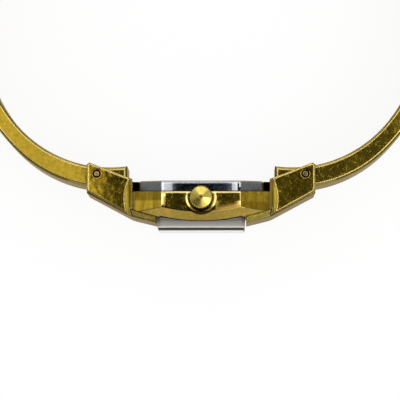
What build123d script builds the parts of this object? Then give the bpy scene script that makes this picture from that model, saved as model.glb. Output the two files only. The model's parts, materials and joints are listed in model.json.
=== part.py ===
from build123d import *
from math import cos, hypot, radians, sin
import os

# Bangle watch, lying on its nine o'clock side with the crown up.
# X runs from the twelve o'clock hood to the six o'clock hood, +Y towards the wrist and +Z to the crown.
# The origin is where the stem's axis meets the nine o'clock side. Lengths are in millimetres.
# A depth is measured from the rear face of the back towards the dial, which is along -Y.

# Whole watch
case_width = 12.0  # across the ears and the side flats, from nine to three o'clock
mid_width = case_width / 2
stem_depth = 2.25
overrun = 1.0
fit_gap = 0.02  # between pieces that are seated or pressed together
run_gap = 0.04  # radial, where a piece turns
free_gap = 0.1  # between pieces that move past each other

# Case middle
side_flat_half = 5.2
corner_fall = 0.8
rear_depth = 1.4
front_depth = 5.35
front_radius = 28.0
bow_radius = 22.0  # of the bowed facet along each front edge, at the side flat
bow_depth = 4.1
bow_fall_share = 0.45  # of its fall towards the middle to its run towards the front
chamber_half_length = 6.9
chamber_side_wall = 1.25
chamber_corner = 1.0
dial_seat_depth = 3.9

# Crystal and its window
glass_half_length = 5.8
glass_side_wall = 0.6
glass_end_ledge = 0.9
glass_side_ledge = 1.15
hand_room = 0.75  # under the crystal's seat
glass_seat_depth = dial_seat_depth + hand_room
glass_stand = 1.75
glass_corner = 0.43
glass_bevel = 0.32
glass_bevel_rise = 0.2
glass_gasket = 0.15
glass_gasket_inset = 0.25
window_half_length = glass_half_length - glass_end_ledge
window_side_wall = glass_side_wall + glass_side_ledge
window_corner = 1.0

# Back
back_overhang = 1.3
back_half_length = chamber_half_length + back_overhang
back_corner_length = 3.0
back_side_fall = 0.35  # from the case's side flat to the back's side flat
back_corner_fall = 1.3
back_edge = 0.22
back_floor = 0.5
skirt_wall = 0.45
skirt_height = 0.35
gasket_section = 0.22
notch_length = 1.8
notch_height = 0.5
notch_reach = 0.35

# Hoods
end_wall = 2.15
shoulder_inset = 1.0  # of the wall beside the back, from the back's end width on each side
hood_length = 6.0
hood_inner = chamber_half_length + end_wall
hood_outer = hood_inner + hood_length
hood_inner_top = -0.18
hood_outer_top = -2.5
hood_corner_depth = 1.42
hood_front_depth = 4.74
hood_heel_radius = 0.8
hood_toe = 0.4
ear_plate = 0.9
ear_edge = 0.14
scallop_reach = 1.02  # along the ear's side face, from its inner end
scallop_depth = 2.45
scallop_chord_radius = 6.2
scallop_rise = 7.9
pocket_wall = 0.4
pocket_inner = hood_inner + pocket_wall
pocket_lip_depth = 0.84
pocket_floor_depth = 2.38
pocket_wall_top = 0.05

# Hood covers
cover_side_step = 0.5
cover_end_gap = 0.17
cover_inner = glass_half_length + cover_end_gap
cover_inner_rise = 0.2
cover_knee_reach = 0.15
cover_knee = hood_inner + cover_knee_reach
cover_knee_depth = 4.76
cover_knee_radius = 4.0
cover_outer_rise = 0.21
cover_outer_depth = hood_corner_depth + cover_outer_rise
cover_lip = 0.5
cover_edge = 0.12

# Hinge
hinge_inset = 1.32
hinge_x = hood_outer - hinge_inset
hinge_depth = -0.87
pin_radius = 0.35
pin_sink_radius = 0.54
pin_sink = 0.16
pin_recess = 0.1

# Bangle arms
bar_radius = 16.3
bar_side_radius = 22.0
bar_low_reach = 1.74  # from the hinge to the lowest point of the inner curve
bar_low_x = hinge_x - bar_low_reach
bar_cover = 0.91  # from the hinge's level to the lowest point of the inner curve
bar_thickness = 2.7
bar_edge = 0.26
tip_round_share = 0.42
tail_heading = -9
tail_gap = 0.3
tail_x = pocket_inner + tail_gap
even_heading = 12
side_heading = 52
tip_heading = 150
thickness_shares = ((40, 0.9), (84, 0.78), (tip_heading, 0.7))

# Dial, markers and hands
dial_thickness = 0.3
dial_edge_gap = 0.15
marker_height = 0.1
marker_width = 0.22
marker_length = 0.9
short_marker_share = 0.6
marker_end_gap = 0.45
marker_side_gap = 0.4
hand_thickness = 0.1
hand_space = 0.16
hour_hand_lift = 0.12
hour_hand_depth = dial_seat_depth + hour_hand_lift
minute_hand_depth = hour_hand_depth + hand_thickness + hand_space
hour_hand_length = 2.5
minute_hand_length = 3.6
hand_width = 0.34
hand_tail = 0.9
hand_tail_share = 0.5
hand_shoulder_share = 0.55
hour_hand_turn = 125
minute_hand_turn = 240

# Movement frame
ring_end_wall = 0.6
ring_side_wall = 0.75
plate_half_length = chamber_half_length - ring_end_wall
plate_side_wall = chamber_side_wall + ring_side_wall
plate_dial_gap = 0.1
plate_thickness = 1.0
plate_front_depth = dial_seat_depth - dial_thickness - plate_dial_gap
plate_rear_depth = plate_front_depth - plate_thickness
plate_recess = 0.58
plate_recess_depth = plate_front_depth - plate_recess
plate_corner = 0.7
bridge_stand = 1.08
bridge_depth = plate_rear_depth - bridge_stand
bridge_thickness = 0.36
bridge_edge = 0.4
centre_arbor_radius = 0.16
pivot_radius = 0.09
pivot_length = 0.24
screw_radius = 0.3
screw_head_radius = 0.45
screw_head_height = 0.2

# Going train: the rotor drives the intermediate wheel, which drives the centre wheel
rotor_teeth = 6
intermediate_teeth = 60
rotor_module = 0.055
intermediate_pinion_teeth = 8
centre_teeth = 48
centre_module = 0.07
intermediate_turn = -40
rotor_turn = 10
upper_level_stand = 0.62  # from the main plate's rear face, as is the lower level's
lower_level_stand = 0.34
upper_level_depth = plate_rear_depth - upper_level_stand
lower_level_depth = plate_rear_depth - lower_level_stand
wheel_thickness = 0.18
addendum_share = 0.85
dedendum_share = 1.15
magnet_radius = 0.5
magnet_height = 0.2

# Motion works: the cannon pinion drives the minute wheel, which drives the hour wheel
cannon_teeth = 12
minute_wheel_teeth = 36
cannon_module = 0.075
minute_pinion_teeth = 10
hour_teeth = 40
hour_module = 0.072
minute_wheel_turn = -75
motion_thickness = 0.16
motion_gap = 0.06
cannon_depth = plate_recess_depth + motion_gap
hour_wheel_depth = cannon_depth + motion_thickness + motion_gap
cannon_pipe_radius = 0.27
hour_pipe_wall = 0.12
stud_radius = 0.14

# Power and motor
battery_radius = 2.9
battery_height = 1.2
battery_end_gap = 0.55
battery_x = battery_end_gap + battery_radius - chamber_half_length
battery_step = 0.2
battery_post = 0.5
battery_post_turns = (120, 180, 240)
clamp_thickness = 0.08
clamp_width = 1.4
clamp_room = 0.4
battery_depth = back_floor + clamp_thickness + 2 * fit_gap
coil_end_reach = 2.4
coil_side_reach = 0.6
coil_x = plate_half_length - coil_end_reach
coil_z = plate_side_wall + coil_side_reach
coil_stand = 1.05
coil_depth = plate_rear_depth - coil_stand
coil_radius = 0.45
coil_length = 2.9
flange_thickness = 0.2
flange_half = 0.55
core_width = 0.4
core_thickness = 0.3
core_leg = 0.3
core_half_length = coil_length / 2 + flange_thickness + core_leg
stator_thickness = 0.2
stator_arm = 1.3
board_length = 3.3
board_end_gap = 0.7
board_side_gap = 0.7
board_stem_gap = 1.0
board_thickness = 0.2
board_outer = plate_half_length - board_end_gap
board_inner = board_outer - board_length
board_low_z = mid_width + board_stem_gap
board_high_z = case_width - plate_side_wall - board_side_gap
can_radius = 0.45
can_length = 3.0
can_inset = 0.05
chip_size = 1.2
chip_height = 0.4

# Crown and keyless work
crown_radius = 1.6
crown_skirt = 0.85
crown_cone = 0.36
crown_rim = 0.12
crown_teeth = 28
crown_tooth_depth = 0.13
crown_root_share = 0.25
crown_pip_radius = 0.3
crown_pip_height = 0.12
crown_gap = 0.14
crown_hollow_radius = 1.05
crown_hollow_depth = 0.6
crown_seal_section = 0.2
tube_radius = 0.6
tube_wall = 0.16
tube_stand = 0.42
stem_radius = 0.4
stem_square = 0.42
stem_square_length = 1.9
stem_reach = 1.85  # into the plate from its edge
stem_inner_z = case_width - plate_side_wall - stem_reach
clutch_radius = 0.6
clutch_length = 0.7
clutch_lift = 0.6
clutch_z = stem_inner_z + clutch_lift
clutch_teeth = 10
clutch_tooth_height = 0.16
clutch_gap_width = 0.14

face = Plane((0, stem_depth, 0), x_dir=(1, 0, 0), z_dir=(0, -1, 0))
parts = {}


def y_at(depth):
    return stem_depth - depth


def side_prism(points, low_z, high_z):
    outline = Polyline([(x, y_at(depth)) for x, depth in points], close=True)
    return Pos(0, 0, low_z) * extrude(make_face(outline), amount=high_z - low_z)


def disc(x, z, start, end, radius):
    seat = Pos(x, z, start)
    return face * seat * Cylinder(radius, end - start, align=(Align.CENTER, Align.CENTER, Align.MIN))


def slab(low_x, high_x, low_z, high_z, start, end, corner=0):
    plan = Pos((low_x + high_x) / 2, (low_z + high_z) / 2) * Rectangle(high_x - low_x, high_z - low_z)
    if corner:
        plan = chamfer(plan.vertices(), corner)
    return face * Pos(0, 0, start) * extrude(plan, amount=end - start)


def octagon(half_length, flat_half, side_fall, corner_drop):
    """Plan of a case piece: side flats joined to the ends by sloping corner facets."""
    side = mid_width - side_fall
    end = side - corner_drop
    quarter = [(flat_half, side), (half_length, end)]
    right = quarter + [(x, -z) for x, z in reversed(quarter)]
    left = [(-x, -z) for x, z in right]
    return Pos(0, mid_width) * make_face(Polyline(right + left, close=True))


def rod(x, depth, low_z, high_z, radius):
    bar = Cylinder(radius, high_z - low_z, align=(Align.CENTER, Align.CENTER, Align.MIN))
    return Pos(x, y_at(depth), low_z) * bar


def both_sides(shape):
    return shape + mirror(shape, about=Plane.YZ)


# Case middle


def case_block():
    plan = octagon(hood_inner, side_flat_half, 0, corner_fall)
    block = face * Pos(0, 0, rear_depth) * extrude(plan, amount=front_depth - rear_depth)
    arch = rod(0, front_depth - front_radius, 0, case_width, front_radius)
    slope = mid_width / bow_fall_share
    bow = Cone(bow_radius + slope, bow_radius, mid_width, align=(Align.CENTER, Align.CENTER, Align.MIN))
    upper = Pos(0, y_at(bow_depth - bow_radius), mid_width) * bow
    lower = mirror(upper, about=Plane((0, 0, mid_width), z_dir=(0, 0, 1)))
    return block & arch & (upper + lower)


def ear_outline():
    points = [
        (hood_inner, hood_inner_top),
        (hood_outer, hood_outer_top),
        (hood_outer, hood_corner_depth),
        (hood_inner, hood_front_depth),
    ]
    outline = make_face(Polyline([(x, y_at(depth)) for x, depth in points], close=True))
    heel = outline.vertices().sort_by_distance((hood_outer, y_at(hood_corner_depth), 0))[0]
    outline = fillet(heel, hood_heel_radius)
    toe = outline.vertices().sort_by_distance((hood_outer, y_at(hood_outer_top), 0))[0]
    return chamfer(toe, hood_toe)


def hood():
    """The six o'clock hood: two ears joined by a front wall, with a wedge-shaped pocket between them."""
    body = extrude(ear_outline(), amount=case_width)
    rims = body.faces().filter_by(Axis.Z).edges()
    body = chamfer(rims, ear_edge)
    pocket = [
        (hood_outer + overrun, pocket_lip_depth - overrun * pocket_slope()),
        (pocket_inner, pocket_floor_depth),
        (pocket_inner, hood_outer_top - overrun),
        (hood_outer + overrun, hood_outer_top - overrun),
    ]
    body -= side_prism(pocket, ear_plate, case_width - ear_plate)
    saddle = [
        (hood_inner - overrun, pocket_wall_top),
        (pocket_inner, pocket_wall_top),
        (pocket_inner, hood_outer_top - overrun),
        (hood_inner - overrun, hood_outer_top - overrun),
    ]
    body -= side_prism(saddle, ear_plate, case_width - ear_plate)
    ball_radius = hypot(scallop_chord_radius, scallop_rise)
    ball_x = hood_inner + scallop_reach - scallop_chord_radius
    for ball_z in (-scallop_rise, case_width + scallop_rise):
        body -= Pos(ball_x, y_at(scallop_depth), ball_z) * Sphere(ball_radius)
    body -= rod(hinge_x, hinge_depth, -overrun, case_width + overrun, pin_radius + fit_gap)
    sink = Cone(
        pin_radius + fit_gap, pin_sink_radius, pin_sink, align=(Align.CENTER, Align.CENTER, Align.MIN)
    )
    upper_sink = Pos(hinge_x, y_at(hinge_depth), case_width - pin_sink) * sink
    lower_sink = mirror(upper_sink, about=Plane((0, 0, mid_width), z_dir=(0, 0, 1)))
    return body - upper_sink - lower_sink


def pocket_slope():
    return (pocket_floor_depth - pocket_lip_depth) / (hood_outer - pocket_inner)


def arch_depth(x):
    return front_depth - front_radius + (front_radius**2 - x**2) ** 0.5


def cover_seat():
    """Room for a cover on the front of the hood, outwards of the case's arch."""
    low_z = cover_side_step - fit_gap
    points = [
        (hood_inner, arch_depth(hood_inner)),
        (hood_outer + overrun, cover_outer_depth - cover_lip - overrun * seat_slope()),
        (hood_outer + overrun, front_depth + overrun),
        (hood_inner, front_depth + overrun),
    ]
    return side_prism(points, low_z, case_width - low_z)


def seat_slope():
    return (arch_depth(hood_inner) - cover_outer_depth + cover_lip) / (hood_outer - hood_inner)


def case_openings():
    glass_low = glass_side_wall - fit_gap
    glass_half = glass_half_length + fit_gap
    rebate_half = chamber_half_length + gasket_section
    low = chamber_side_wall
    cuts = slab(
        -chamber_half_length, chamber_half_length, low, case_width - low,
        rear_depth - overrun, dial_seat_depth, chamber_corner,
    )
    cuts += slab(
        -rebate_half, rebate_half, low - gasket_section, case_width - low + gasket_section,
        rear_depth - overrun, rear_depth + gasket_section, chamber_corner,
    )
    cuts += slab(
        -window_half_length, window_half_length, window_side_wall, case_width - window_side_wall,
        dial_seat_depth - overrun, front_depth + overrun, window_corner,
    )
    cuts += slab(
        -glass_half, glass_half, glass_low, case_width - glass_low,
        glass_seat_depth, front_depth + overrun, glass_corner,
    )
    cuts += rod(0, stem_depth, case_width / 2, case_width + overrun, tube_radius + fit_gap)
    return cuts


def shoulder():
    """The six o'clock wall beside the end of the back, with a slot for the knife that lifts the back."""
    half = mid_width - back_side_fall - back_corner_fall - shoulder_inset
    inner = back_half_length + fit_gap
    wall = slab(inner, hood_inner, mid_width - half, mid_width + half, pocket_wall_top, rear_depth)
    return wall - slab(
        inner - overrun, hood_inner + overrun, mid_width - notch_length / 2, mid_width + notch_length / 2,
        pocket_wall_top - overrun, rear_depth + overrun,
    )


def case_middle():
    case = case_block() + both_sides(hood() + shoulder())
    case -= both_sides(cover_seat())
    return case - case_openings()


def hood_cover():
    """The six o'clock cover, a bent plate whose front carries on the arch of the crystal."""
    low_z = cover_side_step
    points = [
        (cover_inner, front_depth + cover_inner_rise),
        (cover_knee, cover_knee_depth),
        (hood_outer, cover_outer_depth),
        (hood_outer, cover_outer_depth - cover_lip + fit_gap),
        (hood_inner, arch_depth(hood_inner) + fit_gap),
        (hood_inner, rear_depth),
        (cover_inner, rear_depth),
    ]
    outline = make_face(Polyline([(x, y_at(depth)) for x, depth in points], close=True))
    knee = outline.vertices().sort_by_distance((cover_knee, y_at(cover_knee_depth), 0))[0]
    outline = fillet(knee, cover_knee_radius)
    plate = Pos(0, 0, low_z) * extrude(outline, amount=case_width - 2 * low_z)
    rims = plate.faces().filter_by(Axis.Z).edges()
    middles = [(edge, edge.center()) for edge in rims]
    front = [edge for edge, middle in middles if middle.Y < y_at(arch_depth(middle.X) + cover_lip / 2)]
    plate = chamfer(front, cover_edge)
    arch = rod(0, front_depth - front_radius, -overrun, case_width + overrun, front_radius + fit_gap)
    return plate - arch


# Bangle arms


def bar_centre(heading):
    centre_y = y_at(hinge_depth) + bar_cover + bar_radius
    if heading <= side_heading:
        return bar_low_x, centre_y, bar_radius
    step = bar_radius - bar_side_radius
    turn = radians(side_heading)
    return bar_low_x + step * sin(turn), centre_y - step * cos(turn), bar_side_radius


def bar_point(heading, offset):
    """A point beside the bar's inner curve, where the curve has turned to this heading."""
    x, y, radius = bar_centre(heading)
    turn = radians(heading)
    return x + (radius + offset) * sin(turn), y - (radius + offset) * cos(turn)


def heading_vector(heading):
    return cos(radians(heading)), sin(radians(heading))


def arm_side():
    return ear_plate + free_gap


def arm_blank():
    inner = ThreePointArc(*[bar_point(h, 0) for h in (tail_heading, even_heading, side_heading)])
    middle = (side_heading + tip_heading) / 2
    side = ThreePointArc(*[bar_point(h, 0) for h in (side_heading, middle, tip_heading)])
    root_headings = (tail_heading, (tail_heading + even_heading) / 2, even_heading)
    root = ThreePointArc(*[bar_point(h, bar_thickness) for h in root_headings])
    outer = []
    start = root @ 1
    tangent = heading_vector(even_heading)
    for heading, share in thickness_shares:
        arc = TangentArc(start, bar_point(heading, bar_thickness * share), tangent=tangent)
        outer.append(arc)
        start = arc @ 1
        tangent = arc % 1
    tail_end = Line(bar_point(tail_heading, 0), bar_point(tail_heading, bar_thickness))
    tip_end = Line(bar_point(tip_heading, 0), start)
    outline = make_face(Wire([inner, side, tip_end, *outer, root, tail_end]))
    tail_y = bar_point(0, bar_thickness / 2)[1]
    outline -= Pos(tail_x - overrun, tail_y) * Rectangle(2 * overrun, 2 * bar_thickness)
    return Pos(0, 0, arm_side()) * extrude(outline, amount=case_width - 2 * arm_side())


def right_arm():
    arm = arm_blank()
    tip_x, tip_y = bar_point(tip_heading, bar_thickness / 2)
    straight = arm.edges().filter_by(GeomType.LINE).filter_by(Plane.XY)
    corners = straight.sort_by_distance((tip_x, tip_y, mid_width))[:2]
    arm = fillet(corners, tip_round_share * (case_width - 2 * arm_side()))
    rims = arm.faces().filter_by(Axis.Z).edges()
    arm = chamfer(rims, bar_edge)
    return arm - rod(hinge_x, hinge_depth, -overrun, case_width + overrun, pin_radius + run_gap)


def hinge_pin():
    return rod(hinge_x, hinge_depth, pin_recess, case_width - pin_recess, pin_radius)


# Back and crystal


def skirt_depth():
    return rear_depth + skirt_height


def caseback():
    flat_half = back_half_length - back_corner_length
    plan = octagon(back_half_length, flat_half, back_side_fall, back_corner_fall)
    cap = face * extrude(plan, amount=rear_depth)
    rear_rim = cap.faces().sort_by(Axis.Y)[-1].edges()
    cap = chamfer(rear_rim, back_edge)
    half = chamber_half_length - fit_gap
    low = chamber_side_wall + fit_gap
    skirt = slab(-half, half, low, case_width - low, rear_depth, skirt_depth(), chamber_corner)
    inner_half = half - skirt_wall
    inner_low = low + skirt_wall
    corner = chamber_corner - skirt_wall / 2
    hollow = slab(
        -inner_half, inner_half, inner_low, case_width - inner_low, back_floor, skirt_depth() + overrun,
        corner,
    )
    notch = slab(
        -back_half_length - overrun, notch_reach - back_half_length, mid_width - notch_length / 2,
        mid_width + notch_length / 2, rear_depth - notch_height, rear_depth + overrun,
    )
    return cap + skirt - hollow - notch


def caseback_gasket():
    outer_half = chamber_half_length + gasket_section - fit_gap
    outer_low = chamber_side_wall - gasket_section + fit_gap
    start = rear_depth + fit_gap
    end = rear_depth + gasket_section - fit_gap
    ring = slab(-outer_half, outer_half, outer_low, case_width - outer_low, start, end, chamber_corner)
    half = chamber_half_length
    low = chamber_side_wall
    return ring - slab(-half, half, low, case_width - low, rear_depth, rear_depth + overrun, chamber_corner)


def crystal():
    low = glass_side_wall
    half = glass_half_length
    rear = glass_seat_depth + glass_gasket + fit_gap
    front = glass_seat_depth + glass_stand
    glass = slab(-half, half, low, case_width - low, rear, front, glass_corner)
    front_face = glass.faces().sort_by(Axis.Y)[0]
    return chamfer(front_face.edges(), glass_bevel_rise, glass_bevel, reference=front_face)


def crystal_gasket():
    low = glass_side_wall
    half = glass_half_length
    rear = glass_seat_depth + fit_gap
    front = glass_seat_depth + glass_gasket
    ring = slab(-half, half, low, case_width - low, rear, front, glass_corner)
    inner_half = window_half_length + glass_gasket_inset
    inner_low = window_side_wall - glass_gasket_inset
    return ring - slab(
        -inner_half, inner_half, inner_low, case_width - inner_low, rear - overrun, front + overrun,
        window_corner,
    )


# Dial, markers and hands


def dial():
    half = chamber_half_length - dial_edge_gap
    low = chamber_side_wall + dial_edge_gap
    plate = slab(
        -half, half, low, case_width - low, dial_seat_depth - dial_thickness, dial_seat_depth,
        chamber_corner,
    )
    hole = hour_pipe_radius() + free_gap
    return plate - disc(0, mid_width, dial_seat_depth - overrun, dial_seat_depth + overrun, hole)


def dial_markers():
    """Twelve plain batons round the window, the ones at the quarters longer."""
    markers = []
    reach_x = window_half_length - marker_end_gap
    reach_z = mid_width - window_side_wall - marker_side_gap
    for hour in range(12):
        turn = radians(30 * hour)
        reach = 1 / max(abs(cos(turn)) / reach_x, abs(sin(turn)) / reach_z)
        length = marker_length if hour % 3 == 0 else marker_length * short_marker_share
        baton = Rectangle(length, marker_width)
        middle = reach - length / 2
        place = Pos(0, mid_width, dial_seat_depth) * Rot(0, 0, 30 * hour) * Pos(middle, 0)
        markers.append(face * place * extrude(baton, amount=marker_height))
    return Compound(markers)


def hand(length, width, turn, depth, bore):
    half = width / 2
    shoulder = length * hand_shoulder_share
    tail_half = half * hand_tail_share
    upper = [(-hand_tail, tail_half), (0, half), (shoulder, half), (length, 0)]
    lower = [(x, -y) for x, y in reversed(upper[:-1])]
    plan = make_face(Polyline(upper + lower, close=True)) + Circle(bore + half) - Circle(bore)
    return face * Pos(0, mid_width, depth) * Rot(0, 0, turn) * extrude(plan, amount=hand_thickness)


# Gears


def toothed(teeth, module, bore=0):
    pitch = teeth * module / 2
    tip = pitch + addendum_share * module
    root = pitch - dedendum_share * module
    points = []
    for tooth in range(teeth):
        for share, radius in ((0, tip), (1 / 2, root)):
            turn = radians(360 * (tooth + share) / teeth)
            points.append((radius * cos(turn), radius * sin(turn)))
    plan = make_face(Polyline(points, close=True))
    return plan - Circle(bore) if bore else plan


def gear(teeth, module, x, z, depth, thickness, turn, bore=0):
    plan = toothed(teeth, module, bore)
    return face * Pos(x, z, depth) * Rot(0, 0, turn) * extrude(plan, amount=thickness)


def polar(x, z, reach, turn):
    return x + reach * cos(radians(turn)), z + reach * sin(radians(turn))


def train_places():
    intermediate_reach = (intermediate_pinion_teeth + centre_teeth) * centre_module / 2
    rotor_reach = (rotor_teeth + intermediate_teeth) * rotor_module / 2
    intermediate = polar(0, mid_width, intermediate_reach, intermediate_turn)
    rotor = polar(*intermediate, rotor_reach, rotor_turn)
    return intermediate, rotor


def minute_wheel_place():
    return polar(0, mid_width, (cannon_teeth + minute_wheel_teeth) * cannon_module / 2, minute_wheel_turn)


def hour_pipe_radius():
    return cannon_pipe_radius + run_gap + hour_pipe_wall


def meshing_turn(direction, teeth):
    """The turn that puts a gap of a gear towards a tooth that comes from this direction."""
    return direction + 180 - 180 / teeth


def rotor():
    x, z = train_places()[1]
    turn = meshing_turn(rotor_turn, rotor_teeth)
    pinion = gear(rotor_teeth, rotor_module, x, z, upper_level_depth, wheel_thickness, turn)
    magnet = disc(x, z, lower_level_depth, lower_level_depth + magnet_height, magnet_radius)
    arbor = disc(x, z, bridge_front() - pivot_length, plate_rear_depth + pivot_length, pivot_radius)
    return pinion + magnet + arbor


def bridge_front():
    return bridge_depth + bridge_thickness


def intermediate_wheel():
    x, z = train_places()[0]
    wheel = gear(intermediate_teeth, rotor_module, x, z, upper_level_depth, wheel_thickness, rotor_turn)
    turn = meshing_turn(intermediate_turn, intermediate_pinion_teeth)
    pinion = gear(
        intermediate_pinion_teeth, centre_module, x, z, upper_level_depth,
        lower_level_depth + wheel_thickness - upper_level_depth, turn,
    )
    arbor = disc(x, z, bridge_front() - pivot_length, plate_rear_depth + pivot_length, pivot_radius)
    return wheel + pinion + arbor


def centre_wheel():
    wheel = gear(
        centre_teeth, centre_module, 0, mid_width, lower_level_depth, wheel_thickness, intermediate_turn
    )
    shaft = disc(0, mid_width, bridge_front() + free_gap, minute_hand_depth, centre_arbor_radius)
    tip = disc(0, mid_width, bridge_front() - pivot_length, lower_level_depth, pivot_radius)
    return wheel + shaft + tip


def cannon_pinion():
    pinion = gear(
        cannon_teeth, cannon_module, 0, mid_width, cannon_depth, motion_thickness, minute_wheel_turn
    )
    pipe = disc(0, mid_width, cannon_depth, minute_hand_depth + hand_thickness, cannon_pipe_radius)
    bore = disc(0, mid_width, cannon_depth - overrun, minute_hand_depth, centre_arbor_radius + fit_gap)
    return pinion + pipe - bore


def minute_wheel():
    x, z = minute_wheel_place()
    turn = meshing_turn(minute_wheel_turn, minute_wheel_teeth)
    wheel = gear(minute_wheel_teeth, cannon_module, x, z, cannon_depth, motion_thickness, turn)
    pinion = gear(
        minute_pinion_teeth, hour_module, x, z, cannon_depth,
        hour_wheel_depth + motion_thickness - cannon_depth, minute_wheel_turn,
    )
    return wheel + pinion - disc(x, z, cannon_depth - overrun, plate_front_depth, stud_radius + run_gap)


def hour_wheel():
    turn = meshing_turn(minute_wheel_turn + 180, hour_teeth)
    wheel = gear(hour_teeth, hour_module, 0, mid_width, hour_wheel_depth, motion_thickness, turn)
    pipe = disc(0, mid_width, hour_wheel_depth, hour_hand_depth + hand_thickness, hour_pipe_radius())
    bore = disc(
        0, mid_width, cannon_depth, minute_hand_depth + overrun, cannon_pipe_radius + run_gap
    )
    return wheel + pipe - bore


# Movement frame


def main_plate():
    half = plate_half_length
    low = plate_side_wall
    plate = slab(-half, half, low, case_width - low, plate_rear_depth, plate_front_depth, plate_corner)
    wheel_room = hour_teeth * hour_module / 2 + hour_module + free_gap
    minute_x, minute_z = minute_wheel_place()
    minute_room = minute_wheel_teeth * cannon_module / 2 + cannon_module + free_gap
    front = plate_front_depth + overrun
    plate -= disc(0, mid_width, plate_recess_depth, front, wheel_room)
    plate -= disc(minute_x, minute_z, plate_recess_depth, front, minute_room)
    plate += disc(minute_x, minute_z, plate_recess_depth, plate_front_depth - free_gap, stud_radius)
    plate -= disc(0, mid_width, plate_rear_depth - overrun, front, centre_arbor_radius + run_gap)
    for x, z in train_places():
        plate -= disc(x, z, plate_rear_depth - overrun, plate_rear_depth + pivot_length + run_gap,
                      pivot_radius + run_gap)
    stem_room = clutch_radius + free_gap
    plate -= rod(0, stem_depth, clutch_z - free_gap, case_width, stem_room)
    plate -= rod(0, stem_depth, stem_inner_z - free_gap, case_width, stem_radius + free_gap)
    for x, z in bridge_screws():
        plate += post(x, z, screw_head_radius, bridge_front())
    seat = battery_depth + battery_height + battery_step + fit_gap
    for turn in battery_post_turns:
        x, z = polar(battery_x, mid_width, battery_radius - battery_step - battery_post, turn)
        plate += post(x, z, battery_post / 2, seat)
    return plate


def post(x, z, half, rear):
    """A square post on the plate's rear face."""
    return slab(x - half, x + half, z - half, z + half, rear, plate_rear_depth)


def bridge_screws():
    low_z = plate_side_wall + 2 * screw_head_radius
    rotor_x, rotor_z = train_places()[1]
    high_z = rotor_z + stator_arm / 2 + screw_head_radius + free_gap
    return (bridge_edge / 2, low_z), (rotor_x + 2 * magnet_radius + screw_head_radius, high_z)


def train_bridge():
    (low_x, low_z), (high_x, high_z) = bridge_screws()
    rim = screw_head_radius + free_gap
    arm_low = train_places()[0][1] - rim
    arm_high = max(mid_width + bridge_edge, high_z + rim)
    bridge = slab(-bridge_edge, low_x + rim, low_z - rim, arm_high, bridge_depth, bridge_front(), rim / 2)
    bridge += slab(-bridge_edge, high_x + rim, arm_low, arm_high, bridge_depth, bridge_front(), rim / 2)
    places = ((0, mid_width),) + tuple(train_places())
    holes = [(place, pivot_radius + run_gap) for place in places]
    holes += [(place, screw_radius + fit_gap) for place in bridge_screws()]
    for (x, z), radius in holes:
        bridge -= disc(x, z, bridge_depth - overrun, bridge_front() + overrun, radius)
    return bridge


def movement_screws():
    screws = []
    for x, z in bridge_screws():
        head = disc(x, z, bridge_depth - screw_head_height, bridge_depth, screw_head_radius)
        shank = disc(x, z, bridge_depth, bridge_front(), screw_radius)
        screws.append(head + shank)
    return Compound(screws)


def movement_ring():
    half = chamber_half_length - fit_gap
    low = chamber_side_wall + fit_gap
    start = skirt_depth() + free_gap
    end = dial_seat_depth - dial_thickness - fit_gap
    ring = slab(-half, half, low, case_width - low, start, end, chamber_corner)
    inner_half = plate_half_length + fit_gap
    inner_low = plate_side_wall - fit_gap
    ring -= slab(
        -inner_half, inner_half, inner_low, case_width - inner_low, start - overrun, end + overrun,
        plate_corner,
    )
    return ring - rod(0, stem_depth, mid_width, case_width, clutch_radius + free_gap)


# Power and motor


def battery():
    start = battery_depth
    can = disc(battery_x, mid_width, start, start + battery_height, battery_radius)
    rim = disc(battery_x, mid_width, start + battery_height, start + battery_height + battery_step,
               battery_radius - battery_step)
    return can + rim


def battery_clamp():
    """A spring strap over the battery, with a leg down to the plate at each end."""
    start = battery_depth - clamp_thickness - fit_gap
    low_x = battery_x - clamp_width / 2
    high_x = battery_x + clamp_width / 2
    leg = battery_radius + clamp_room
    outer = leg + clamp_thickness
    strap = slab(low_x, high_x, mid_width - outer, mid_width + outer, start, start + clamp_thickness)
    for low_z in (mid_width - outer, mid_width + leg):
        strap += slab(low_x, high_x, low_z, low_z + clamp_thickness, start, plate_rear_depth - fit_gap)
    return strap


def circuit_board():
    board = slab(
        board_inner, board_outer, board_low_z, board_high_z, plate_rear_depth - board_thickness - fit_gap,
        plate_rear_depth - fit_gap,
    )
    chip_depth = plate_rear_depth - board_thickness - fit_gap
    chip_z = board_low_z + chip_size / 2 + free_gap
    middle = (board_inner + board_outer) / 2
    return board + slab(
        middle - chip_size / 2, middle + chip_size / 2, chip_z - chip_size / 2, chip_z + chip_size / 2,
        chip_depth - chip_height, chip_depth,
    )


def quartz_can():
    depth = plate_rear_depth - board_thickness - 2 * fit_gap - can_radius
    middle = (board_inner + board_outer) / 2
    can = Rot(0, 90, 0) * Cylinder(can_radius, can_length)
    return Pos(middle, y_at(depth), board_high_z - can_radius - can_inset) * can


def stator():
    depth = lower_level_depth
    x, z = train_places()[1]
    end = depth + stator_thickness
    plate = slab(
        coil_x - core_half_length, coil_x + core_half_length, coil_z - core_width, z + stator_arm / 2,
        depth, end, core_width / 2,
    )
    return plate - disc(x, z, depth - overrun, end + overrun, magnet_radius + free_gap)


def coil_core():
    half = core_half_length
    bar = slab(
        coil_x - half, coil_x + half, coil_z - core_width / 2, coil_z + core_width / 2,
        coil_depth - core_thickness / 2, coil_depth + core_thickness / 2,
    )
    foot = lower_level_depth - fit_gap
    for low_x in (coil_x - half, coil_x + half - core_leg):
        bar += slab(
            low_x, low_x + core_leg, coil_z - core_width / 2, coil_z + core_width / 2, coil_depth, foot
        )
    return bar


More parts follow.
